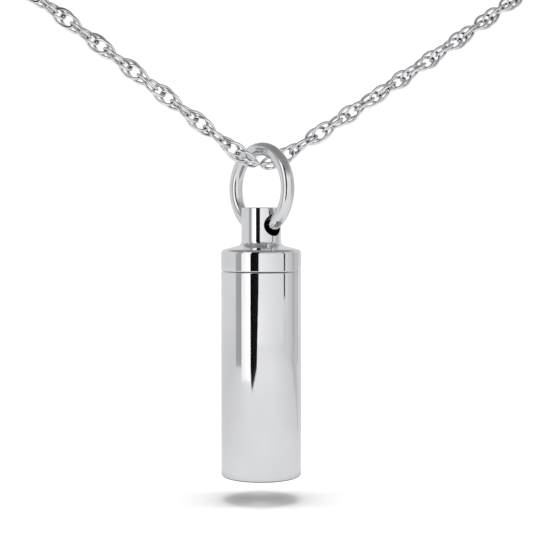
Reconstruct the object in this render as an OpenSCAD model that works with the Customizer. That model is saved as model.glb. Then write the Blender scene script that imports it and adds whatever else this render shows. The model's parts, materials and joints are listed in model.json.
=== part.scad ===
// Keepsake urn pendant on its chain, in millimetres.
// The origin is at the nape, where the worn chain hangs. +Z is up, the pendant hangs at the front, at -Y.

/* [Chain] */
// Radius of the worn loop, seen from above
loop_r = 60.2; // [50:0.1:70]
// Climb of the chain from the pendant towards the nape, in degrees
climb = 35.3; // [30:0.1:40]
// Sideways tilt of the loop, which makes the left arm the steeper one, in degrees
tilt = 3.7; // [-4:0.1:4]
// Distance over which the climb levels out behind the neck
nape_round = 20; // [12:1:30]
// Thickness of the chain, as the mean across its twisted links
chain_d = 1.24; // [1.1:0.02:1.3]
// Radius of the bend where the chain carries the ring
bend_r = 2.4; // [2.2:0.1:3]
// Gap between the chain and the ring at the bend
bend_gap = 0.09; // [0.06:0.01:0.2]

/* [Clasp] */
// Outer diameter of the clasp ring
clasp_d = 5.5; // [5:0.1:7]
// Thickness of the clasp ring
clasp_wire = 1.1; // [0.8:0.05:1.2]
// Outer diameter of the eye soldered to the clasp ring
eye_d = 2.2; // [2:0.1:2.6]
// Thickness of the eye
eye_wire = 0.42; // [0.36:0.02:0.46]
// Outer diameter of the end ring that the clasp holds
end_ring_d = 3.4; // [3.2:0.1:4]
// Thickness of the end ring
end_ring_wire = 0.42; // [0.36:0.02:0.46]

/* [Bail ring] */
// Outer diameter of the ring between the chain and the cap
ring_d = 7.4; // [7.4:0.1:8]
// Thickness of the ring
ring_wire = 1.08; // [1:0.02:1.08]
// Angle of the ring's plane to the line from front to back, in degrees
ring_turn = 29; // [15:1:33]
// How far the ring's lowest stretch hangs below the middle of the hole
ring_drop = 0.265; // [0.26:0.005:0.27]

/* [Cap] */
// Outer diameter of the cap
cap_d = 6.42; // [6.2:0.02:6.8]
// Height of the cap's side, to the top of the shoulder's outer edge
cap_side = 1.75; // [1.6:0.05:2.2]
// Rounding of the shoulder's outer edge
shoulder_round = 0.35; // [0.1:0.05:0.4]
// Slope of the shoulder, in degrees
shoulder_slope = 14; // [10:1:20]
// Diameter of the neck
neck_d = 3.17; // [3.1:0.01:3.17]
// Height of the neck's top above the shoulder's outer edge
neck_h = 3.3; // [3.25:0.05:3.6]
// Radius of the hollow corner between the neck and the shoulder
neck_fillet = 0.45; // [0.2:0.05:0.5]
// Diameter of the cross hole
hole_d = 1.7; // [1.7:0.01:1.8]
// Depth of the hole's middle below the neck's top
hole_depth = 1.39; // [1.3:0.01:1.5]

/* [Urn] */
// Outer diameter of the urn
urn_d = 6.42; // [6.2:0.02:6.8]
// Height of the urn below the seam
urn_h = 16.4; // [12:0.05:20]
// Thickness of the urn's wall
wall = 0.5; // [0.4:0.05:0.6]
// Thickness of the urn's floor
floor_t = 0.8; // [0.6:0.1:1.2]
// Depth of the narrower mouth that holds the thread
mouth_h = 1.8; // [1.7:0.05:2]
// Rounding of the urn's lower edge
foot_round = 0.1; // [0.06:0.02:0.3]

/* [Thread] */
// Diameter of the threaded stud
stud_d = 4.2; // [3.6:0.1:4.4]
// Length of the stud inside the cap
stud_up = 1.1; // [0.8:0.05:1.2]
// Length of the stud below the seam
stud_down = 1.6; // [1.2:0.05:1.6]
// Clearance round the stud
thread_gap = 0.03; // [0.02:0.01:0.05]
// Height of the open seam between the cap and the urn
seam = 0.04; // [0.03:0.01:0.1]

/* [Hidden] */

// Smoothness of the turned pieces and of the short rounded edges
round_fn = 96;
edge_steps = 6;
// Rounding of the neck's top edge and of the two edges at the seam
edge_round = 0.08;
stud_bevel = 0.15;
// Shortest gap between two linked rings
link_gap = 0.05;
// The chain's tube: sides, rings in the bend, rings up each arm, and its end gap
tube_sides = 8;
bend_steps = 6;
arm_steps = 36;
tube_gap = 0.15;

// Radii of the rings, measured to the middle of their wire
clasp_r = (clasp_d - clasp_wire) / 2;
eye_r = (eye_d - eye_wire) / 2;
end_ring_r = (end_ring_d - end_ring_wire) / 2;
ring_r = (ring_d - ring_wire) / 2;
// The eye is soldered to the clasp's left side, the end ring hooks round its right side
eye_x = -(clasp_d / 2 + eye_r);
end_ring_x = clasp_r - clasp_wire / 2 - link_gap - end_ring_wire / 2 + end_ring_r;
tube_left = -eye_x + eye_d / 2 + tube_gap;
tube_right = end_ring_x + end_ring_d / 2 + tube_gap;

// Half the width of the bend, and the heights of the arm's foot and of the bend's lowest point
bend_half = bend_r * sin(climb);
level_out = nape_round / loop_r;
function arm_height(turn) =
    let (left = (180 - turn) * PI / 180)
    -tan(climb) * loop_r * (sqrt(left * left + level_out * level_out) - level_out);
arm_foot = arm_height(0);
bend_z = arm_foot - bend_r * (1 - cos(climb));

// Heights of the hanging pieces, from the bend down
front_y = -2 * loop_r;
ring_top_z = bend_z + chain_d / 2 + bend_gap + ring_wire / 2;
ring_z = ring_top_z - ring_r;
hole_z = ring_z - ring_r + ring_drop;
neck_top_z = hole_z + hole_depth;
seam_z = neck_top_z - neck_h - cap_side;

// Points of an arc in a turned piece's half section: middle, radius, first and last angle
function arc(middle, r, first, last) =
    [for (i = [0 : edge_steps])
        let (a = first + (last - first) * i / edge_steps)
        middle + r * [cos(a), sin(a)]];

// A ring of round wire, its hole along Z
module wire_ring(middle_r, wire) {
    rotate_extrude($fn = round_fn)
        translate([middle_r, 0])
            circle(d = wire, $fn = round_fn / 2);
}

// A place on the loop: side is -1 on the left and 1 on the right, turn is 0 at the front and 180 at the nape
function tilted(p) = [p.x, p.y, p.z - p.x * tan(tilt)];
function arm_point(side, turn) =
    tilted([side * (bend_half + loop_r * sin(turn)), -loop_r * (1 + cos(turn)), arm_height(turn)]);
function bend_point(a) = tilted([bend_r * sin(a), front_y, bend_z + bend_r * (1 - cos(a))]);

left_turn = 180 - asin((tube_left - bend_half) / loop_r);
right_turn = 180 - asin((tube_right - bend_half) / loop_r);
route = concat(
    [for (i = [arm_steps : -1 : 1]) arm_point(-1, left_turn * i / arm_steps)],
    [for (i = [0 : bend_steps]) bend_point(climb * (2 * i / bend_steps - 1))],
    [for (i = [1 : arm_steps]) arm_point(1, right_turn * i / arm_steps)]);

// One polygon of the tube, square to the route
function unit(v) = v / norm(v);
function along(i) = unit(route[min(i + 1, len(route) - 1)] - route[max(i - 1, 0)]);
function tube_polygon(i) =
    let (ahead = along(i), across = unit(cross(ahead, [0, 0, 1])), over = cross(across, ahead))
    [for (k = [0 : tube_sides - 1])
        let (a = 360 * k / tube_sides)
        route[i] + chain_d / 2 * (cos(a) * across + sin(a) * over)];

module chain() {
    last = len(route) - 1;
    points = [for (i = [0 : last]) each tube_polygon(i)];
    sides = [for (i = [0 : last - 1], k = [0 : tube_sides - 1])
        let (next = (k + 1) % tube_sides, here = i * tube_sides, there = here + tube_sides)
        [here + k, there + k, there + next, here + next]];
    first_end = [for (k = [0 : tube_sides - 1]) k];
    last_end = [for (k = [tube_sides - 1 : -1 : 0]) last * tube_sides + k];
    color("silver")
        polyhedron(points, concat(sides, [first_end], [last_end]));
}

module clasp() {
    color("gainsboro")
        rotate([90, 0, 0]) {
            wire_ring(clasp_r, clasp_wire);
            translate([eye_x, 0, 0])
                wire_ring(eye_r, eye_wire);
        }
}

module end_ring() {
    color("silver")
        translate([end_ring_x, 0, 0])
            wire_ring(end_ring_r, end_ring_wire);
}

module bail_ring() {
    color("gainsboro")
        translate([0, front_y, ring_z])
            rotate([0, 0, ring_turn])
                rotate([0, 90, 0])
                    wire_ring(ring_r, ring_wire);
}

// Half section of the cap, from the seam up
cap_r = cap_d / 2;
neck_r = neck_d / 2;
edge_middle = [cap_r - shoulder_round, cap_side - shoulder_round];
edge_end = edge_middle + shoulder_round * [sin(shoulder_slope), cos(shoulder_slope)];
slope_level = edge_end * [sin(shoulder_slope), cos(shoulder_slope)];
fillet_r = neck_r + neck_fillet;
fillet_z = (slope_level + neck_fillet - fillet_r * sin(shoulder_slope)) / cos(shoulder_slope);
neck_top = cap_side + neck_h;

module cap_section() {
    polygon(concat(
        [[0, 0]],
        arc([cap_r - edge_round, edge_round], edge_round, -90, 0),
        arc(edge_middle, shoulder_round, 0, 90 - shoulder_slope),
        arc([fillet_r, fillet_z], neck_fillet, 270 - shoulder_slope, 180),
        arc([neck_r - edge_round, neck_top - edge_round], edge_round, 0, 90),
        [[0, neck_top]]));
}

module cap() {
    socket_h = stud_up + link_gap;
    color("silver")
        translate([0, front_y, seam_z])
            difference() {
                rotate_extrude($fn = round_fn)
                    cap_section();
                translate([0, 0, -socket_h])
                    cylinder(h = 2 * socket_h, d = stud_d + 2 * thread_gap, $fn = round_fn);
                translate([0, 0, neck_top - hole_depth])
                    rotate([0, 0, ring_turn])
                        rotate([90, 0, 0])
                            cylinder(h = 2 * neck_d, d = hole_d, center = true, $fn = round_fn);
            }
}

module thread_stud() {
    stud_r = stud_d / 2;
    low = -seam - stud_down;
    color("gainsboro")
        translate([0, front_y, seam_z])
            rotate_extrude($fn = round_fn)
                polygon([
                    [0, low],
                    [stud_r - stud_bevel, low],
                    [stud_r, low + stud_bevel],
                    [stud_r, stud_up - stud_bevel],
                    [stud_r - stud_bevel, stud_up],
                    [0, stud_up]]);
}

module urn() {
    urn_r = urn_d / 2;
    chamber_h = urn_h - floor_t - mouth_h;
    color("silver")
        translate([0, front_y, seam_z - seam - urn_h])
            difference() {
                rotate_extrude($fn = round_fn)
                    polygon(concat(
                        [[0, 0]],
                        arc([urn_r - foot_round, foot_round], foot_round, -90, 0),
                        arc([urn_r - edge_round, urn_h - edge_round], edge_round, 0, 90),
                        [[0, urn_h]]));
                translate([0, 0, floor_t])
                    cylinder(h = chamber_h, d = urn_d - 2 * wall, $fn = round_fn);
                translate([0, 0, urn_h - 1.5 * mouth_h])
                    cylinder(h = 2 * mouth_h, d = stud_d + 2 * thread_gap, $fn = round_fn);
            }
}

chain();
clasp();
end_ring();
bail_ring();
cap();
thread_stud();
urn();
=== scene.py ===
"""Keepsake urn pendant on a twisted link chain: its links, thread and silver, and a pale studio round it."""

import json
import math
from collections import namedtuple

import bpy
import numpy as np
from bpy.props import FloatProperty, FloatVectorProperty, IntProperty, PointerProperty
from bpy.types import Operator, Panel, PropertyGroup
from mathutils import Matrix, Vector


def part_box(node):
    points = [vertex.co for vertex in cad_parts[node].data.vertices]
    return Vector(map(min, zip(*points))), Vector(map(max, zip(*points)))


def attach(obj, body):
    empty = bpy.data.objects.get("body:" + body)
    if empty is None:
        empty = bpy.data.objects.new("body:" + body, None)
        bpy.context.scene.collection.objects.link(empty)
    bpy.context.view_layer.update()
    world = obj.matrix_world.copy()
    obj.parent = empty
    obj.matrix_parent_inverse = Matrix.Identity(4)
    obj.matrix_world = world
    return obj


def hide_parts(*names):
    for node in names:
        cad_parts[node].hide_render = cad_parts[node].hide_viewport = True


bl_info = {
    "name": "Keepsake Urn Pendant",
    "version": (1, 0, 0),
    "blender": (4, 5, 0),
    "location": "View3D > Sidebar > Pendant",
    "description": "Builds the links, thread and silver of an urn pendant, and a pale studio round it",
    "category": "Object",
}

MM = 0.001

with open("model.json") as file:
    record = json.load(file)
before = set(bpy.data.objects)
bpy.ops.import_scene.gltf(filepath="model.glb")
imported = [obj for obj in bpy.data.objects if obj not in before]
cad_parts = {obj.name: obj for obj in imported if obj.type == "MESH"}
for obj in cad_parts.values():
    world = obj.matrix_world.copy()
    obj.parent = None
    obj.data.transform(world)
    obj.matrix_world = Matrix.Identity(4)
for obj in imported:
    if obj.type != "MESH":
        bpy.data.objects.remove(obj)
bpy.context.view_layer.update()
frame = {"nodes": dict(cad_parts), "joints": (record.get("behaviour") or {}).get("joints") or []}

SEAM_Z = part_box("cap")[0].z
FOOT_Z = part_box("urn")[0].z
RING_LOW, RING_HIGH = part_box("bail_ring")
PENDANT_X = (RING_LOW.x + RING_HIGH.x) / 2
PENDANT_Y = (RING_LOW.y + RING_HIGH.y) / 2
STUD_LOW, STUD_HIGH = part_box("thread_stud")
END_RING_LOW, END_RING_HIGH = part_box("end_ring")
CLASP_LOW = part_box("clasp")[0]
# The joint whose axis is the middle line of the neck's cross hole
HOLE = next(joint for joint in frame["joints"] if joint["name"] == "pendant_swing")


def length(name, description, value):
    """A setting for a size in metres."""
    return FloatProperty(name=name, description=description, default=value, unit="LENGTH", precision=5)


def angle(name, description, degrees):
    """A setting for an angle, with its default in degrees."""
    return FloatProperty(name=name, description=description, default=math.radians(degrees), subtype="ANGLE")


def share(name, description, value):
    """A setting from 0 to 1."""
    return FloatProperty(name=name, description=description, default=value, min=0, max=1, subtype="FACTOR")


def colour(name, description, value):
    """A setting for a colour."""
    return FloatVectorProperty(name=name, description=description, default=value, size=3, min=0, max=1,
                               subtype="COLOR")


def whole(name, description, value, least):
    """A setting for a whole number."""
    return IntProperty(name=name, description=description, default=value, min=least)


class ChainSettings(PropertyGroup):
    """The chain's route, which repeats the tube's in the frame, and its links."""

    loop_radius: length("Loop radius", "Radius of the worn loop, seen from above", 60.2 * MM)
    climb: angle("Climb", "Climb of the chain from the pendant towards the nape", 35.3)
    tilt: angle("Tilt", "Sideways tilt of the loop", 3.7)
    nape_round: length("Nape rounding", "Distance over which the climb levels out behind the neck", 20 * MM)
    bend_radius: length("Bend radius", "Radius of the bend that carries the ring", 2.4 * MM)
    settle: length("Settling length", "Length over which each end reaches its ring", 7 * MM)
    wire: length("Link wire", "Thickness of a link's wire", 0.24 * MM)
    link_width: length("Link width", "Outer width of a link", 1.46 * MM)
    link_length: length("Link length", "Outer length of a link", 2.16 * MM)
    end_round: length("Link end", "Radius of a link's ends, to the middle of its wire", 0.44 * MM)
    pitch: length("Pitch", "Distance from a link to the next one in its string", 1.64 * MM)
    lead: length("Lead", "Distance from the first string's links to the second string's", 0.7 * MM)
    phase: length("Phase", "Distance of the front link's middle from the bend's lowest point", 0.3 * MM)
    string_turn: angle("String turn", "Angle between the two strings' links", 45)
    hook_gap: length("Hook gap", "Gap between the end links and the rings they hold", 0.02 * MM)
    around: whole("Link steps", "Steps along a link's outline", 32, 16)
    sides: whole("Wire sides", "Sides of a link's wire", 8, 6)


class ThreadSettings(PropertyGroup):
    """The thread cut on the stud between the cap and the urn."""

    pitch: length("Thread pitch", "Travel of one turn of the thread", 0.35 * MM)
    depth: length("Thread depth", "Height of the thread above its root", 0.19 * MM)
    steps: whole("Steps in a turn", "Faces round the thread", 96, 24)
    rows: whole("Rows in a turn", "Faces along one pitch of the thread", 10, 4)


class SilverSettings(PropertyGroup):
    """Colours and finishes of the silver."""

    polished: colour("Polished silver", "Colour of the urn and the cap", (0.86, 0.865, 0.88))
    ring: colour("Ring silver", "Colour of the ring and the clasp", (0.84, 0.845, 0.86))
    links: colour("Link silver", "Colour of the chain", (0.91, 0.915, 0.93))
    turned: colour("Turned silver", "Colour of the thread", (0.72, 0.725, 0.735))
    mirror: share("Mirror roughness", "Roughness of the polished urn and cap", 0.045)
    drawn: share("Wire roughness", "Roughness of the drawn wire of the rings", 0.12)
    tumbled: share("Link roughness", "Roughness of the tumbled links", 0.09)
    cut: share("Thread roughness", "Roughness of the cut thread", 0.24)
    # The cross hole's wall is painted near black as shade, out to this radius
    hole_radius: length("Hole radius", "Radius of the dark cross hole in the neck", 0.85 * MM)


class StageSettings(PropertyGroup):
    """The camera, the floor and the light."""

    azimuth: angle("Azimuth", "Angle of the camera to the right of the pendant's front", -12)
    pitch: angle("Pitch", "Angle by which the camera looks up from the level", -2.13)
    distance: length("Distance", "Distance of the camera from the pendant", 97.84 * MM)
    sideways: length("Sideways", "Distance of the camera to the right of the pendant", 0.424 * MM)
    height: length("Height", "Height of the camera above the urn's foot", 20.42 * MM)
    floor_gap: length("Floor gap", "Distance from the urn's foot down to the floor", 2 * MM)
    surroundings: share("Surroundings", "Brightness of the room in the reflections", 0.72)
    floor_front: share("Floor front", "Brightness of the floor in front, in the reflections", 0.86)
    floor_near: share("Floor nearby", "Brightness of the floor nearby, in the reflections", 0.69)
    floor_far: share("Floor far away", "Brightness of the floor far away, in the reflections", 0.77)
    light: FloatProperty(name="Light", description="Light on the floor, where 1 shows it white", default=1.32,
                         min=0)


class PendantSettings(PropertyGroup):
    """Everything that a user would change."""

    chain: PointerProperty(type=ChainSettings, name="Chain", description="Route and links")
    thread: PointerProperty(type=ThreadSettings, name="Thread", description="Thread on the stud")
    silver: PointerProperty(type=SilverSettings, name="Silver", description="Colours and finishes")
    stage: PointerProperty(type=StageSettings, name="Stage", description="Camera, floor and light")


def add_mesh(name, points, faces, material, smooth=True):
    """A new mesh object in the scene, with one material."""
    mesh = bpy.data.meshes.new(name)
    mesh.from_pydata([tuple(p) for p in points], [], [tuple(f) for f in faces])
    mesh.update()
    mesh.materials.append(material)
    mesh.polygons.foreach_set("use_smooth", [smooth] * len(mesh.polygons))
    piece = bpy.data.objects.new(name, mesh)
    bpy.context.scene.collection.objects.link(piece)
    return piece


def band_faces(rings, sides, closed=False):
    """Four-sided faces from each ring of points to the next, and from the last to the first if closed."""
    faces = []
    for ring in range(rings if closed else rings - 1):
        here, there = ring * sides, (ring + 1) % rings * sides
        for side in range(sides):
            following = (side + 1) % sides
            faces.append((here + side, here + following, there + following, there + side))
    return faces


def round_pendant(distance, azimuth, z):
    """A place by its distance from the pendant's middle line, its angle to the right of the front, and z."""
    return PENDANT_X + distance * math.sin(azimuth), PENDANT_Y - distance * math.cos(azimuth), z


class Recipe:
    """A material's nodes, added one by one."""

    def __init__(self, name):
        self.material = bpy.data.materials.new(name)
        self.material.use_nodes = True
        self.nodes = self.material.node_tree.nodes
        self.links = self.material.node_tree.links
        self.nodes.clear()
        self.output = self.nodes.new("ShaderNodeOutputMaterial")

    def add(self, kind, inputs=None, **values):
        """A node of one kind, with links or values for its inputs, and its settings."""
        node = self.nodes.new(kind)
        for key, value in values.items():
            setattr(node, key, value)
        for socket, value in (inputs or {}).items():
            if isinstance(value, bpy.types.NodeSocket):
                self.links.new(value, node.inputs[socket])
            else:
                node.inputs[socket].default_value = value
        return node

    def noise(self, place, scale, detail=3.0, roughness=0.55):
        """Soft noise, mostly from 0.3 to 0.7."""
        node = self.add("ShaderNodeTexNoise", {"Vector": place, "Scale": scale, "Detail": detail,
                                               "Roughness": roughness})
        return node.outputs["Fac"]

    def spread(self, value, low, high, from_low=0.3, from_high=0.7):
        """A value's range spread from low to high. The range is noise's, unless another is given."""
        node = self.add("ShaderNodeMapRange", {"Value": value, "From Min": from_low, "From Max": from_high,
                                               "To Min": low, "To Max": high})
        return node.outputs["Result"]

    def stretched(self, place, scale):
        """A place with each axis scaled on its own."""
        return self.add("ShaderNodeMapping", {"Vector": place, "Scale": scale}).outputs["Vector"]

    def maths(self, operation, first, second):
        """One sum on two values."""
        return self.add("ShaderNodeMath", {0: first, 1: second}, operation=operation).outputs["Value"]

    def vector_maths(self, operation, inputs, output="Vector"):
        """One sum on vectors."""
        return self.add("ShaderNodeVectorMath", inputs, operation=operation).outputs[output]

    def blend(self, factor, first, second):
        """A colour between two others."""
        node = self.add("ShaderNodeMix", {"Factor": factor}, data_type="RGBA")
        for socket, value in ((node.inputs[6], first), (node.inputs[7], second)):
            if isinstance(value, bpy.types.NodeSocket):
                self.links.new(value, socket)
            else:
                socket.default_value = (*value, 1)
        return node.outputs[2]

    def distance(self, place, point, axis=None):
        """Distance from a point, or from the line through it along an axis."""
        offset = self.vector_maths("SUBTRACT", {0: place, 1: point})
        if axis:
            offset = self.vector_maths("CROSS_PRODUCT", {0: offset, 1: axis})
        return self.vector_maths("LENGTH", {0: offset}, "Value")

    def finish(self, shader):
        """The material, once its shader is linked to the surface."""
        self.links.new(shader, self.output.inputs["Surface"])
        return self.material


# Finishes: tarnish clouds to the metre, and hairlines to the metre along x, y and z
Finish = namedtuple("Finish", "clouds hairlines")
URN_FINISH = Finish(260, (5200, 5200, 900))
CAP_FINISH = Finish(420, (5200, 5200, 900))
RING_FINISH = Finish(900, (2600, 2600, 9000))
LINK_FINISH = Finish(1500, (5000, 5000, 5000))
THREAD_FINISH = Finish(700, (2000, 2000, 30000))

# Near black painted shade, for the hollows that a mask picks out
PAINTED_SHADE_BLACK = (0.012, 0.012, 0.013)
TARNISH = 0.93  # brightness of the tarnish clouds, as a share of the clean silver's
SMEARS = 2.3  # polishing smears for each tarnish cloud
SMOOTHEST, ROUGHEST = 0.6, 1.5  # roughness between and in the smears, as a share of the finish's
WORN_ROUGHNESS, WORN_WIDTH = 0.06, 0.12 * MM  # extra roughness on a worn edge, and how far it reaches
HAIRLINE_STRENGTH, HAIRLINE_DEPTH = 0.12, 0.004 * MM


def silver(name, tint, roughness, finish, worn_heights=(), painted_shade_mask=None):
    """Silver with faint tarnish clouds, uneven polish, hairlines, worn edges, and painted shade, near black,
    in hollows that a mask picks out.
    """
    recipe = Recipe(name)
    place = recipe.add("ShaderNodeTexCoord").outputs["Object"]
    clouds = recipe.noise(place, finish.clouds, 4.0)
    dull = [channel * TARNISH for channel in tint]
    tarnish_and_shade = recipe.blend(recipe.spread(clouds, 0.0, 1.0), dull, tint)
    # Painted shade: near black wherever the mask marks a shaded hollow
    if painted_shade_mask:
        tarnish_and_shade = recipe.blend(painted_shade_mask(recipe, place), tarnish_and_shade, PAINTED_SHADE_BLACK)
    smears = recipe.noise(place, finish.clouds * SMEARS, 5.0, 0.65)
    polish = recipe.spread(smears, roughness * SMOOTHEST, roughness * ROUGHEST)
    height = recipe.add("ShaderNodeSeparateXYZ", {"Vector": place}).outputs["Z"]
    for wear_or_shade in worn_heights:
        away = recipe.maths("ABSOLUTE", recipe.maths("SUBTRACT", height, wear_or_shade), 0.0)
        polish = recipe.maths("ADD", polish, recipe.spread(away, WORN_ROUGHNESS, 0.0, 0.0, WORN_WIDTH))
    hairlines = recipe.noise(recipe.stretched(place, finish.hairlines), 1.0, 2.0)
    bump = recipe.add("ShaderNodeBump", {
        "Strength": HAIRLINE_STRENGTH, "Distance": HAIRLINE_DEPTH, "Height": hairlines})
    shader = recipe.add("ShaderNodeBsdfPrincipled", {
        "Base Color": tarnish_and_shade, "Metallic": 1.0, "Roughness": polish, "Normal": bump.outputs["Normal"]})
    return recipe.finish(shader.outputs["BSDF"])


def dress(node, material):
    """Gives a carried-over CAD node its finish."""
    piece = frame["nodes"][node]
    piece.data.materials.clear()
    piece.data.materials.append(material)


class PENDANT_OT_urn(Operator):
    """Polish the urn"""

    bl_idname = "pendant.urn"
    bl_label = "Polish the urn"

    def execute(self, context):
        look = context.scene.pendant.silver
        edges = (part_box("urn")[1].z, FOOT_Z)
        dress("urn", silver("urn_silver", look.polished, look.mirror, URN_FINISH, edges))
        return {"FINISHED"}


# The hole's black is painted shade on the wall of the neck's cross hole
HOLE_EDGE, HOLE_SHADE = 0.004 * MM, 0.03 * MM  # where the hole's black starts and ends, outside its radius


class PENDANT_OT_cap(Operator):
    """Polish the cap with its neck"""

    bl_idname = "pendant.cap"
    bl_label = "Polish the cap"

    def execute(self, context):
        look = context.scene.pendant.silver
        edges = (SEAM_Z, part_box("cap")[1].z)

        # Painted shade: the cross hole's wall is near black, fading out just outside the hole's radius
        def painted_hole_shade(recipe, place):
            away = recipe.distance(place, HOLE["pos_m"], HOLE["axis"])
            return recipe.spread(away, 1.0, 0.0, look.hole_radius + HOLE_EDGE, look.hole_radius + HOLE_SHADE)

        dress("cap", silver(
            "cap_silver", look.polished, look.mirror, CAP_FINISH, edges, painted_hole_shade))
        return {"FINISHED"}


class PENDANT_OT_ring(Operator):
    """Polish the bail ring, the clasp and its end ring"""

    bl_idname = "pendant.ring"
    bl_label = "Polish the rings"

    def execute(self, context):
        look = context.scene.pendant.silver
        wire = silver("ring_wire_silver", look.ring, look.drawn, RING_FINISH)
        for node in ("bail_ring", "clasp", "end_ring"):
            dress(node, wire)
        return {"FINISHED"}


# The thread's form: where its crest's flat ends and its root starts, in pitches from the crest's middle, and
# the bevel at the post's ends, as a share of the thread's depth
CREST_END, ROOT_START, BEVEL = 0.1127, 0.4348, 1.05


def thread_radius(settings, outer, turn, z):
    """The post's radius at an angle in turns and a height: a right-handed thread with bevelled ends."""
    away = abs(((z - STUD_LOW.z) / settings.pitch - turn) % 1.0 - 0.5)
    crest = min(1.0, max(0.0, (ROOT_START - away) / (ROOT_START - CREST_END)))
    radius = outer - settings.depth * (1 - crest)
    end = min(z - STUD_LOW.z, STUD_HIGH.z - z)
    return min(radius, outer - settings.depth * BEVEL + end)


class PENDANT_OT_thread(Operator):
    """Cut the thread on the stud that holds the urn in the cap"""

    bl_idname = "pendant.thread"
    bl_label = "Cut the thread"

    def execute(self, context):
        settings = context.scene.pendant.thread
        outer = (STUD_HIGH.x - STUD_LOW.x) / 2
        height = STUD_HIGH.z - STUD_LOW.z
        rows = round(height / settings.pitch * settings.rows)
        points = []
        for row in range(rows + 1):
            z = STUD_LOW.z + height * row / rows
            for step in range(settings.steps):
                turn = step / settings.steps
                radius = thread_radius(settings, outer, turn, z)
                points.append((PENDANT_X + radius * math.cos(math.tau * turn),
                               PENDANT_Y + radius * math.sin(math.tau * turn), z))
        low_end = tuple(range(settings.steps))[::-1]
        high_end = tuple(rows * settings.steps + step for step in range(settings.steps))
        faces = band_faces(rows + 1, settings.steps) + [low_end, high_end]
        look = context.scene.pendant.silver
        turned = silver("turned_silver", look.turned, look.cut, THREAD_FINISH)
        post = add_mesh("threaded_post", points, faces, turned)
        for face in list(post.data.polygons)[-2:]:
            face.use_smooth = False
        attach(post, "thread_stud")
        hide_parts("thread_stud")
        return {"FINISHED"}


# Extra turn of the links about the chain's line: distance from the bend's lowest point in mm, and turn in
# degrees. On the arms they lie as in the photo, and at the bend they stay clear of the ring as it swings.
LAY = ((-20, 13), (-14.2, 9), (-11.1, 22), (-7.7, 15), (-4.3, 11), (-2.98, -8), (-1.34, -18), (0.3, -64),
       (1.94, -77), (4.2, -108), (6.9, -79), (10, -71), (12.6, -35), (15.7, -28), (19.1, -35), (22.7, -57),
       (30, -70))

BEND_STEPS = 60
ARM_STEPS = 1399


def ease(x):
    """Rises from 0 to 1 as x does, level at both ends."""
    x = np.clip(x, 0, 1)
    return x * x * (3 - 2 * x)


class Route:
    """The chain's middle line from the clasp's eye to the end ring, measured from the bend's lowest point."""

    def __init__(self, chain, eye, end):
        self.chain = chain
        half = chain.bend_radius * math.sin(chain.climb)
        low_z = self.arm_height(0.0) - chain.bend_radius * (1 - math.cos(chain.climb))
        bend = np.linspace(-chain.climb, chain.climb, BEND_STEPS + 1)
        middle = np.stack([chain.bend_radius * np.sin(bend), np.full(BEND_STEPS + 1, -2 * chain.loop_radius),
                           low_z + chain.bend_radius * (1 - np.cos(bend))], axis=1)
        arms = []
        for side, target in ((-1, eye), (1, end)):
            last = math.pi - math.asin((abs(target[0]) - half) / chain.loop_radius)
            turn = np.linspace(0, last, ARM_STEPS + 1)[1:]
            arms.append(np.stack([side * (half + chain.loop_radius * np.sin(turn)),
                                  -chain.loop_radius * (1 + np.cos(turn)), self.arm_height(turn)], axis=1))
        points = np.concatenate([arms[0][::-1], middle, arms[1]])
        points[:, 2] -= points[:, 0] * math.tan(chain.tilt)
        lowest = ARM_STEPS + BEND_STEPS // 2
        self.points = points
        self.measure(lowest)
        near_left = ease(1 - (self.lengths - self.lengths[0]) / chain.settle)[:, None]
        near_right = ease(1 - (self.lengths[-1] - self.lengths) / chain.settle)[:, None]
        to_eye, to_end = np.array(eye) - points[0], np.array(end) - points[-1]
        self.points = points + near_left * to_eye + near_right * to_end
        self.measure(lowest)

    def arm_height(self, turn):
        """Height of an arm by its turn round the loop: an even climb that levels out at the nape."""
        chain = self.chain
        level = chain.nape_round / chain.loop_radius
        left = math.pi - turn
        return -math.tan(chain.climb) * chain.loop_radius * (np.sqrt(left * left + level * level) - level)

    def measure(self, lowest):
        """Takes each point's distance along the line from the lowest one."""
        steps = np.linalg.norm(np.diff(self.points, axis=0), axis=1)
        self.lengths = np.concatenate([[0], np.cumsum(steps)])
        self.lengths -= self.lengths[lowest]

    def at(self, distance):
        """The point at a distance."""
        return np.array([np.interp(distance, self.lengths, self.points[:, axis]) for axis in range(3)])

    def axes(self, distance, reach):
        """Forward, sideways and upward directions of a link that spans the route by its reach."""
        forward = self.at(distance + reach) - self.at(distance - reach)
        forward /= np.linalg.norm(forward)
        across = np.cross(forward, (0, 0, 1))
        across /= np.linalg.norm(across)
        return forward, across, np.cross(across, forward)


def link_outline(chain):
    """The middle line of a link's wire, an oval of four arcs: along and across, once round."""
    half_length = (chain.link_length - chain.wire) / 2
    half_width = (chain.link_width - chain.wire) / 2
    centre = half_length - chain.end_round
    side = (centre ** 2 + half_width ** 2 - chain.end_round ** 2) / (2 * (half_width - chain.end_round))
    meet = math.atan2(centre, side - half_width)
    quarter = chain.around // 4
    flank = quarter // 2
    arc = [(side * math.sin(a), half_width - side + side * math.cos(a))
           for a in np.linspace(0, meet, flank, endpoint=False)]
    arc += [(centre + chain.end_round * math.sin(a), chain.end_round * math.cos(a))
            for a in np.linspace(meet, math.pi / 2, quarter - flank, endpoint=False)]
    arc.append((half_length, 0.0))
    arc = np.array(arc)
    down = arc[-2::-1] * (1, -1)
    back = arc[1:] * (-1, -1)
    up = arc[-2:0:-1] * (-1, 1)
    return np.concatenate([arc, down, back, up])


# The painted shade in a link's ends, where the neighbouring links cross: where it starts and is full, from
# the link's middle, as a share of its length, and how far it reaches round the wire from the inside, as a
# cosine
END_SHADE_START, END_SHADE_FULL, END_SHADE_REACH = 0.2, 0.4, 0.2


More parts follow.
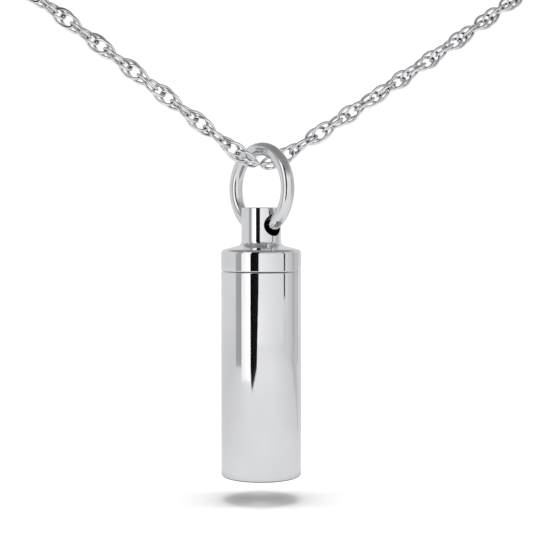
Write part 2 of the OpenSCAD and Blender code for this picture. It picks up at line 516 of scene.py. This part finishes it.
def link_mesh(chain):
    """Points of one link, along, across and out of its plane, its faces, and the painted shade of each point
    in the link's ends.
    """
    line = link_outline(chain)
    count = len(line)
    ahead = np.roll(line, -1, axis=0) - np.roll(line, 1, axis=0)
    ahead /= np.linalg.norm(ahead, axis=1)[:, None]
    outward = np.stack([-ahead[:, 1], ahead[:, 0]], axis=1)
    points = np.zeros((count, chain.sides, 3))
    painted_end_shade = np.zeros((count, chain.sides))
    end = ease((np.abs(line[:, 0]) / chain.link_length - END_SHADE_START) / (END_SHADE_FULL - END_SHADE_START))
    for k in range(chain.sides):
        a = math.tau * (k + 0.5) / chain.sides
        points[:, k, :2] = line + outward * chain.wire / 2 * math.cos(a)
        points[:, k, 2] = chain.wire / 2 * math.sin(a)
        painted_end_shade[:, k] = end * min(1, max(0, END_SHADE_REACH - math.cos(a)))
    faces = band_faces(count, chain.sides, closed=True)
    return points.reshape(-1, 3), np.array(faces), painted_end_shade.ravel()


def link_places(chain, route, eye_wire, end_wire):
    """Distance and turn of each link of the first string, from the eye to the end ring."""
    reach = (chain.link_length - chain.wire) / 2
    hook = reach - chain.wire / 2 - chain.hook_gap
    first = route.lengths[0] + hook - eye_wire / 2
    last = route.lengths[-1] - hook + end_wire / 2
    before = round((chain.phase - first) / chain.pitch)
    after = round((last - chain.phase) / chain.pitch)
    distances = np.concatenate([np.linspace(first, chain.phase, before + 1),
                                np.linspace(chain.phase, last, after + 1)[1:]])
    lay = np.array(LAY, float)
    turns = -chain.string_turn / 2 + math.pi / 2 * np.arange(-before, after + 1)
    turns += np.radians(np.interp(distances, lay[:, 0] * MM, lay[:, 1]))
    # The rest of each arm takes up what its last link lacks to lie square to the wire that it holds
    for end, wanted, inner in ((0, math.pi / 2, lay[0, 0] * MM), (-1, 0.0, lay[-1, 0] * MM)):
        spare = (wanted - turns[end] + math.pi / 2) % math.pi - math.pi / 2
        turns += spare * ease((distances - inner) / (distances[end] - inner))
    return distances, turns


def add_string(name, chain, route, distances, turns, material):
    """One string of links as a single mesh."""
    shape, faces, painted_end_shade = link_mesh(chain)
    reach = (chain.link_length - chain.wire) / 2
    points, all_faces = [], []
    for number, (distance, turn) in enumerate(zip(distances, turns)):
        forward, across, upward = route.axes(distance, reach)
        width = math.cos(turn) * upward + math.sin(turn) * across
        normal = np.cross(forward, width)
        middle = (route.at(distance) * 2 + route.at(distance - reach) + route.at(distance + reach)) / 4
        points.append(middle + shape @ np.stack([forward, width, normal]))
        all_faces.append(faces + number * len(shape))
    piece = add_mesh(name, np.concatenate(points).tolist(), np.concatenate(all_faces).tolist(), material)
    # The painted shade in the links' ends, kept as a point attribute for the material
    wear_or_shade = piece.data.attributes.new("painted_end_shade", "FLOAT", "POINT")
    wear_or_shade.data.foreach_set("value", np.tile(painted_end_shade, len(distances)))
    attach(piece, "chain")
    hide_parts("chain")


class PENDANT_OT_chain(Operator):
    """Link the two strings of the chain, from the clasp's eye round to the end ring"""

    bl_idname = "pendant.chain"
    bl_label = "Link the chain"

    def execute(self, context):
        chain = context.scene.pendant.chain
        end_wire = END_RING_HIGH.z - END_RING_LOW.z
        eye_wire = end_wire
        eye = (CLASP_LOW.x + eye_wire / 2, 0.0, 0.0)
        end = (END_RING_HIGH.x - end_wire / 2, 0.0, 0.0)
        route = Route(chain, eye, end)
        look = context.scene.pendant.silver

        # Painted shade: near black in the links' ends, where their neighbours cross
        def painted_shade_in_ends(recipe, place):
            return recipe.add("ShaderNodeAttribute", attribute_name="painted_end_shade").outputs["Fac"]

        tumbled = silver("link_silver", look.links, look.tumbled, LINK_FINISH, painted_shade_mask=painted_shade_in_ends)
        distances, turns = link_places(chain, route, eye_wire, end_wire)
        add_string("chain_first_string", chain, route, distances, turns, tumbled)
        add_string("chain_second_string", chain, route, distances[1:-1] + chain.lead,
                   turns[1:-1] + chain.string_turn, tumbled)
        return {"FINISHED"}


COOL = 1.01  # the blue of the studio's light, as a share of its red


def glow(name, stops, measure, shade=None):
    """A card's light: grey levels by a measure of the place that runs from 0 to 1, and a shade over them."""
    recipe = Recipe(name)
    coordinates = recipe.add("ShaderNodeTexCoord")
    ramp = recipe.add("ShaderNodeValToRGB", {"Fac": measure(recipe, coordinates)})
    elements = ramp.color_ramp.elements
    while len(elements) < len(stops):
        elements.new(0.5)
    for element, (position, level) in zip(elements, stops):
        element.position = position
        element.color = (level, level, level * COOL, 1)
    light = recipe.add("ShaderNodeEmission", {"Color": ramp.outputs["Color"],
                                              "Strength": shade(recipe, coordinates) if shade else 1.0})
    recipe.material.cycles.emission_sampling = "NONE"
    return recipe.finish(light.outputs["Emission"])


def hide_from(piece, *rays):
    """Hides a piece from some kinds of rays."""
    for kind in rays:
        setattr(piece, "visible_" + kind, False)


def mirror_only(card):
    """Leaves a card to the silver's reflections."""
    hide_from(card, "camera", "diffuse", "shadow", "transmission")


# Cards round the pendant, as the silver shows them: name, first and last edge in degrees to the right of the
# camera, bottom and top above the floor in mm, distance of each edge from the pendant in mm, degrees by which
# each edge comes in at the bottom, and grey levels at the card's least x and at its greatest
Card = namedtuple("Card", "name first last bottom top first_distance last_distance first_in last_in levels")
CARDS = (
    Card("grey_card", -76, -57, 0, 90, 95, 95, 0, 0, (0.42, 0.36)),
    Card("white_card", -57, -30, 0, 90, 79, 79, 0, 0, (1.0, 1.4)),
    Card("black_card", -30, -4, 14, 90, 65, 65, 0, 3, (0.004, 0.012)),
    Card("black_shank", -30, -7, 3.4, 14, 65, 65, 0, 5, (0.004, 0.012)),
    Card("black_tip", -30, -12, 0.8, 3.4, 65, 65, 3.5, 12, (0.006, 0.012)),
    Card("soft_card", -26, 66, 0, 90, 130, 130, 0, 0, (1.03, 0.78)),
    Card("thin_card", 66.6, 71, 11.6, 90, 80, 80, 0, 0, (0.005, 0.04)),
    Card("side_card", 80, 99, 0, 90, 95, 95, 0, 0, (0.7, 0.62)),
    Card("shade_card", 99, 111, 0, 90, 95, 95, 0, 0, (0.46, 0.5)),
    Card("rim_card", 111, 130, 0, 90, 95, 95, 0, 0, (0.54, 0.62)),
    Card("slanting_card", 99, 127, 0, 5.5, 94, 28, 0, 0, (0.64, 0.52)),
)


def across_card(recipe, coordinates):
    """Measures from a card's least x to its greatest."""
    return recipe.add("ShaderNodeSeparateXYZ", {"Vector": coordinates.outputs["Generated"]}).outputs["X"]


def add_card(card, facing, floor_z):
    """An upright strip round the pendant."""
    steps = 24
    points, faces = [], []
    for i in range(steps + 1):
        distance = (card.first_distance + (card.last_distance - card.first_distance) * i / steps) * MM
        for height, first, last in ((card.bottom, card.first + card.first_in, card.last - card.last_in),
                                    (card.top, card.first, card.last)):
            azimuth = facing + math.radians(first + (last - first) * i / steps)
            points.append(round_pendant(distance, azimuth, floor_z + height * MM))
    for i in range(steps):
        faces.append((2 * i, 2 * i + 2, 2 * i + 3, 2 * i + 1))
    stops = ((0.0, card.levels[0]), (1.0, card.levels[1]))
    mirror_only(add_mesh(card.name, points, faces, glow(card.name + "_light", stops, across_card)))


def add_dome(name, radius, floor_z, material):
    """A dome round the pendant, down to a little below the floor."""
    rings, sides = 24, 48
    lowest, highest = -8, 90
    points = []
    for i in range(rings + 1):
        rise = math.radians(lowest + (highest - lowest) * i / rings)
        for k in range(sides):
            a = math.tau * k / sides
            points.append((PENDANT_X + radius * math.cos(rise) * math.cos(a),
                           PENDANT_Y + radius * math.cos(rise) * math.sin(a),
                           floor_z + radius * math.sin(rise)))
    return add_mesh(name, points, band_faces(rings + 1, sides), material)


ROOM_RADIUS = 0.5
# The room by height, as a share of its radius, and its brightness there, as a share of the level one
ROOM = ((0.0, 1.0), (0.5, 1.0), (0.68, 0.45), (1.0, 0.36))


def add_room(level, floor_z):
    """The room that the silver reflects: bright all round up to half its height, and darker overhead."""

    def upwards(recipe, coordinates):
        height = recipe.add("ShaderNodeSeparateXYZ", {"Vector": coordinates.outputs["Object"]}).outputs["Z"]
        return recipe.spread(height, 0.0, 1.0, floor_z, floor_z + ROOM_RADIUS)

    stops = [(height, level * brightness) for height, brightness in ROOM]
    mirror_only(add_dome("studio_room", ROOM_RADIUS, floor_z, glow("room_light", stops, upwards)))


BACKDROP_RADIUS = 1.45
BACKDROP_LIGHT = 1.1


def add_backdrop(floor_z):
    """The plain white backdrop that the camera sees, which gives no light."""
    recipe = Recipe("white_backdrop")
    light = recipe.add("ShaderNodeEmission", {"Color": (1, 1, 1, 1), "Strength": BACKDROP_LIGHT})
    recipe.material.cycles.emission_sampling = "NONE"
    backdrop = add_dome("backdrop", BACKDROP_RADIUS, floor_z, recipe.finish(light.outputs["Emission"]))
    hide_from(backdrop, "glossy", "diffuse", "shadow", "transmission")


def add_plane(name, half, z, material):
    """A level square with the pendant over its middle."""
    corners = ((-half, -half), (half, -half), (half, half), (-half, half))
    points = [(PENDANT_X + x, PENDANT_Y + y, z) for x, y in corners]
    return add_mesh(name, points, [(0, 1, 2, 3)], material, smooth=False)


FLOOR_HALF, FLOOR_CARD_HALF = 1.5, 0.6
FLOOR_CARD_LIFT = 0.02 * MM
# The floor as the silver shows it: how far before the pendant its brightest spot is, and how far from that
# spot the floor stays as bright, has its brightness nearby, and has its brightness far away
SPOT_AHEAD, SPOT_REACH, NEARBY, FAR = 80 * MM, 45 * MM, 125 * MM, 300 * MM
# The shade under the urn: light left in its middle, and where it starts to fade and ends
SHADE_LIGHT, SHADE_CORE, SHADE_EDGE = 0.1, 2 * MM, 14 * MM


def add_floor_card(stage, floor_z):
    """The floor as the silver shows it: brightest before the pendant, and shaded under the urn."""
    spot = round_pendant(SPOT_AHEAD, stage.azimuth, floor_z)
    foot = (PENDANT_X, PENDANT_Y, floor_z)

    def outwards(recipe, coordinates):
        return recipe.spread(recipe.distance(coordinates.outputs["Object"], spot), 0.0, 1.0, 0.0, FAR)

    def under_urn(recipe, coordinates):
        away = recipe.distance(coordinates.outputs["Object"], foot)
        return recipe.spread(away, SHADE_LIGHT, 1.0, SHADE_CORE, SHADE_EDGE)

    stops = ((0.0, stage.floor_front), (SPOT_REACH / FAR, stage.floor_front),
             (NEARBY / FAR, stage.floor_near), (1.0, stage.floor_far))
    mirror_only(add_plane("floor_card", FLOOR_CARD_HALF, floor_z + FLOOR_CARD_LIFT,
                          glow("floor_card_light", stops, outwards, under_urn)))


def floor_material():
    """Matt white paint, a little uneven."""
    recipe = Recipe("pale_floor")
    place = recipe.add("ShaderNodeTexCoord").outputs["Object"]
    paint = recipe.blend(recipe.noise(place, 40), (0.93, 0.93, 0.93), (0.96, 0.96, 0.96))
    shader = recipe.add("ShaderNodeBsdfPrincipled", {"Base Color": paint, "Roughness": 0.9,
                                                     "Specular IOR Level": 0.0})
    return recipe.finish(shader.outputs["BSDF"])


def add_camera(stage):
    """The camera at the photo's place, looking a little downwards past the pendant."""
    data = bpy.data.cameras.new("camera")
    data.lens, data.sensor_width = 82.6, 36.0
    data.clip_start, data.clip_end = 0.01, 10
    camera = bpy.data.objects.new("camera", data)
    bpy.context.scene.collection.objects.link(camera)
    a = stage.azimuth
    x, y, z = round_pendant(stage.distance, a, FOOT_Z + stage.height)
    camera.location = (x + stage.sideways * math.cos(a), y + stage.sideways * math.sin(a), z)
    camera.rotation_euler = (math.pi / 2 + stage.pitch, 0, a)
    bpy.context.scene.camera = camera


# Soft lights: name, lean from overhead and place to the right of the camera in degrees, angular size in
# degrees, and share of the light on the floor. The rest comes evenly from the whole sky.
SoftLight = namedtuple("SoftLight", "name lean place size part")
LIGHTS = (
    SoftLight("top_light", 0, 0, 36, 0.4),
    SoftLight("front_light", 47, 0, 28, 0.045),
    SoftLight("front_left_light", 47, -48, 28, 0.045),
    SoftLight("front_right_light", 47, 48, 28, 0.045),
    SoftLight("back_light", 37, 180, 28, 0.045),
    SoftLight("back_left_light", 37, -132, 28, 0.045),
    SoftLight("back_right_light", 37, 132, 28, 0.045),
    SoftLight("left_light", 62, -90, 20, 0.155),
    SoftLight("right_light", 62, 90, 20, 0.155),
)
SKY_SHARE = 0.02


def add_light(light, stage):
    """A sun as wide as a soft box, which gives the floor its share of the light."""
    data = bpy.data.lights.new(light.name, "SUN")
    data.angle = math.radians(light.size)
    data.energy = stage.light * light.part * math.pi / math.cos(math.radians(light.lean))
    lamp = bpy.data.objects.new(light.name, data)
    lamp.rotation_euler = (math.radians(light.lean), 0, stage.azimuth + math.radians(light.place))
    lamp.visible_glossy = False
    bpy.context.scene.collection.objects.link(lamp)


def add_sky(stage):
    """An even white sky, which gives the rest of the light."""
    world = bpy.data.worlds.new("white_room")
    world.use_nodes = True
    background = world.node_tree.nodes["Background"]
    background.inputs["Color"].default_value = (1, 1, 1, 1)
    background.inputs["Strength"].default_value = stage.light * SKY_SHARE
    bpy.context.scene.world = world


class PENDANT_OT_stage(Operator):
    """Set the camera, the pale floor and the soft light"""

    bl_idname = "pendant.stage"
    bl_label = "Set the stage"

    def execute(self, context):
        stage = context.scene.pendant.stage
        floor_z = FOOT_Z - stage.floor_gap
        add_plane("floor", FLOOR_HALF, floor_z, floor_material())
        add_floor_card(stage, floor_z)
        for card in CARDS:
            add_card(card, stage.azimuth, floor_z)
        add_room(stage.surroundings, floor_z)
        add_backdrop(floor_z)
        for light in LIGHTS:
            add_light(light, stage)
        add_sky(stage)
        context.scene.view_settings.view_transform = "Standard"
        add_camera(stage)
        return {"FINISHED"}


OPERATORS = (PENDANT_OT_urn, PENDANT_OT_cap, PENDANT_OT_thread, PENDANT_OT_ring, PENDANT_OT_chain,
             PENDANT_OT_stage)


class PENDANT_PT_panel(Panel):
    """Lists what the add-on builds and its settings"""

    bl_idname = "PENDANT_PT_panel"
    bl_label = "Keepsake Urn Pendant"
    bl_space_type = "VIEW_3D"
    bl_region_type = "UI"
    bl_category = "Pendant"

    def draw(self, context):
        settings = context.scene.pendant
        for operator in OPERATORS:
            self.layout.operator(operator.bl_idname)
        for group in (settings.chain, settings.thread, settings.silver, settings.stage):
            box = self.layout.box()
            for key in group.bl_rna.properties.keys():
                if key not in ("rna_type", "name"):
                    box.prop(group, key)


CLASSES = (ChainSettings, ThreadSettings, SilverSettings, StageSettings, PendantSettings, *OPERATORS,
           PENDANT_PT_panel)


def register():
    for item in CLASSES:
        bpy.utils.register_class(item)
    bpy.types.Scene.pendant = PointerProperty(type=PendantSettings)


def unregister():
    del bpy.types.Scene.pendant
    for item in reversed(CLASSES):
        bpy.utils.unregister_class(item)


def main():
    """Builds the whole scene."""
    register()
    bpy.ops.pendant.urn()
    bpy.ops.pendant.cap()
    bpy.ops.pendant.thread()
    bpy.ops.pendant.ring()
    bpy.ops.pendant.chain()
    bpy.ops.pendant.stage()
    bpy.context.view_layer.update()


if __name__ == "__main__":
    main()
